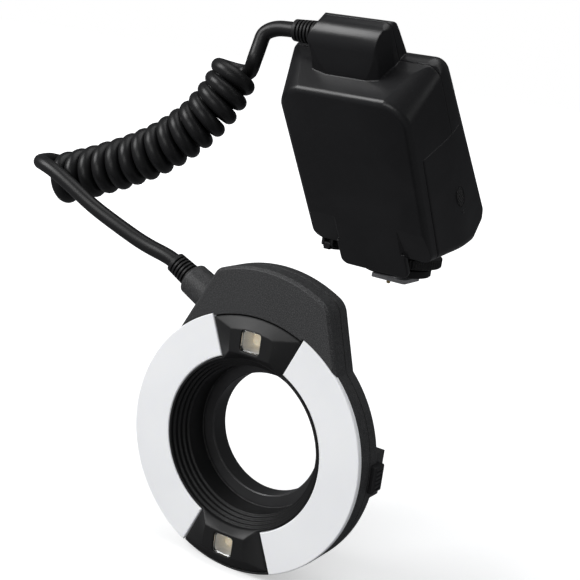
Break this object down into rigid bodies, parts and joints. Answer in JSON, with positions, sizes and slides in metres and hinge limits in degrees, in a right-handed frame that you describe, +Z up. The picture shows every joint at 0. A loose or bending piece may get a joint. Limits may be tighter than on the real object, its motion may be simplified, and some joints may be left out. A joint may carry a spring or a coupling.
{
  "type": "macro ring flash",
  "caption": "Macro ring flash: a leaning control unit with a shoe foot, a coiled cord, and a ring head with curved diffusers, focusing lamps and a threaded adapter ring.",
  "frame": {"origin": "centre of the underside of the control unit's shoe foot", "axes": "+Z up out of the accessory shoe, -Y the way the lens and the ring light point, +X to the right of someone who faces the ring light"},
  "size_m": [0.1967, 0.1489, 0.2359],
  "materials": {
    "casing": "satin moulded black",
    "ring_casing": "fine texture, charcoal",
    "keys": "satin",
    "wheel": "satin",
    "foot_metal": "anodised",
    "plated": "plated",
    "steel": "blackened",
    "holder": "matte",
    "cell": "wrapped",
    "board": "laminate",
    "capacitor": "sleeved",
    "display": "grey green",
    "clear": "clear",
    "diffuser": "frosted white",
    "reflector": "bright",
    "tube_glass": "clear with metal ends",
    "cord": "satin",
    "relief": "matte"
  },
  "bodies": {
    "unit_and_ring": {"base_block": "casing", "batteries": "cell", "battery_contacts": "plated", "battery_holder": "holder", "case_screws": "steel", "cord_coil": "cord", "cord_ring_lead": "cord", "cord_unit_lead": "cord", "diffuser_left": "diffuser", "diffuser_right": "diffuser", "display_panel": "display", "display_window": "clear", "flash_tube_left": "tube_glass", "flash_tube_right": "tube_glass", "front_shell": "casing", "inner_barrel": "ring_casing", "key_board": "board", "lamp_bulb_bottom": "tube_glass", "lamp_bulb_top": "tube_glass", "lamp_lens_bottom": "clear", "lamp_lens_top": "clear", "main_board": "board", "main_capacitor": "capacitor", "power_socket": "casing", "rear_shell": "casing", "reflector_left": "reflector", "reflector_right": "reflector", "ring_board": "board", "ring_front_shell": "ring_casing", "ring_rear_shell": "ring_casing", "ring_screws": "steel", "ring_strain_relief": "relief", "shoe_foot": "foot_metal", "unit_strain_relief": "relief"},
    "door_carrier": {"door_hinge_pin": "steel"},
    "door": {"battery_door": "casing"},
    "clamp": {"clamp_plate": "wheel"},
    "wheel": {"lock_wheel": "wheel"},
    "pin": {"locking_pin": "plated"},
    "centre_pin": {"centre_contact": "plated"},
    "side_pins": {"side_contacts": "plated"},
    "cover": {"socket_cover": "casing"},
    "switch": {"power_switch": "keys"},
    "release_left": {"release_button_left": "keys"},
    "release_right": {"release_button_right": "keys"},
    "adapter": {"adapter_ring": "foot_metal"},
    "lamp_key": {"lamp_button": "keys"},
    "sync_key": {"sync_button": "keys"},
    "ratio_key": {"ratio_button": "keys"},
    "minus_key": {"minus_button": "keys"},
    "set_key": {"set_button": "keys"},
    "plus_key": {"plus_button": "keys"},
    "mode_key": {"mode_button": "keys"},
    "test_key": {"test_button": "keys"}
  },
  "joints": [
    {"name": "door_slide", "type": "slide", "parent": "unit_and_ring", "child": "door_carrier", "axis": [0, 0.599, -0.8007], "range_m": [0, 0.004]},
    {"name": "door_swing", "type": "hinge", "parent": "door_carrier", "child": "door", "pos_m": [0.0316, -0.04103, 0.04158], "axis": [0, 0.599, -0.8007], "range_deg": [0, 90]},
    {"name": "lock_turn", "type": "hinge", "parent": "clamp", "child": "wheel", "pos_m": [0, 0, 0.012], "axis": [0, 0, 1], "range_deg": [0, 288]},
    {"name": "clamp_lift", "type": "slide", "parent": "unit_and_ring", "child": "clamp", "axis": [0, 0, 1], "range_m": [0, 0.0008]},
    {"name": "locking_pin_lift", "type": "slide", "parent": "unit_and_ring", "child": "pin", "axis": [0, 0, 1], "range_m": [0, 0.0018]},
    {"name": "centre_contact_press", "type": "slide", "parent": "unit_and_ring", "child": "centre_pin", "axis": [0, 0, 1], "range_m": [0, 0.0007], "stiffness_N_per_m": 1000, "springref_m": -0.0005},
    {"name": "side_contacts_press", "type": "slide", "parent": "unit_and_ring", "child": "side_pins", "axis": [0, 0, 1], "range_m": [0, 0.0007], "stiffness_N_per_m": 1000, "springref_m": -0.0005},
    {"name": "socket_cover_swing", "type": "hinge", "parent": "unit_and_ring", "child": "cover", "pos_m": [-0.0255, -0.0278, 0.0147], "axis": [-1, 0, 0], "range_deg": [0, 100]},
    {"name": "power_slide", "type": "slide", "parent": "unit_and_ring", "child": "switch", "axis": [-1, 0, 0], "range_m": [0, 0.0045]},
    {"name": "release_left_press", "type": "slide", "parent": "unit_and_ring", "child": "release_left", "axis": [1, 0, 0], "range_m": [0, 0.002], "stiffness_N_per_m": 800, "springref_m": -0.002},
    {"name": "release_right_press", "type": "slide", "parent": "unit_and_ring", "child": "release_right", "axis": [-1, 0, 0], "range_m": [0, 0.002], "stiffness_N_per_m": 800, "springref_m": -0.002},
    {"name": "adapter_turn", "type": "hinge", "parent": "unit_and_ring", "child": "adapter", "pos_m": [0, -0.1053, -0.058], "axis": [0, 1, 0], "continuous": true},
    {"name": "lamp_press", "type": "slide", "parent": "unit_and_ring", "child": "lamp_key", "axis": [0, -0.682, -0.7314], "range_m": [0, 0.0008], "stiffness_N_per_m": 600, "springref_m": -0.001},
    {"name": "sync_press", "type": "slide", "parent": "unit_and_ring", "child": "sync_key", "axis": [0, -0.682, -0.7314], "range_m": [0, 0.0008], "stiffness_N_per_m": 600, "springref_m": -0.001},
    {"name": "ratio_press", "type": "slide", "parent": "unit_and_ring", "child": "ratio_key", "axis": [0, -0.682, -0.7314], "range_m": [0, 0.0008], "stiffness_N_per_m": 600, "springref_m": -0.001},
    {"name": "minus_press", "type": "slide", "parent": "unit_and_ring", "child": "minus_key", "axis": [0, -0.682, -0.7314], "range_m": [0, 0.0008], "stiffness_N_per_m": 600, "springref_m": -0.001},
    {"name": "set_press", "type": "slide", "parent": "unit_and_ring", "child": "set_key", "axis": [0, -0.682, -0.7314], "range_m": [0, 0.0008], "stiffness_N_per_m": 600, "springref_m": -0.001},
    {"name": "plus_press", "type": "slide", "parent": "unit_and_ring", "child": "plus_key", "axis": [0, -0.682, -0.7314], "range_m": [0, 0.0008], "stiffness_N_per_m": 600, "springref_m": -0.001},
    {"name": "mode_press", "type": "slide", "parent": "unit_and_ring", "child": "mode_key", "axis": [0, -0.682, -0.7314], "range_m": [0, 0.0008], "stiffness_N_per_m": 600, "springref_m": -0.001},
    {"name": "test_press", "type": "slide", "parent": "unit_and_ring", "child": "test_key", "axis": [0, -0.682, -0.7314], "range_m": [0, 0.0008], "stiffness_N_per_m": 600, "springref_m": -0.001}
  ],
  "couplings": [
    {"joint": "clamp_lift", "follows": "lock_turn", "m_per_rad": 0.00015915},
    {"joint": "locking_pin_lift", "follows": "lock_turn", "m_per_rad": 0.0003581}
  ]
}
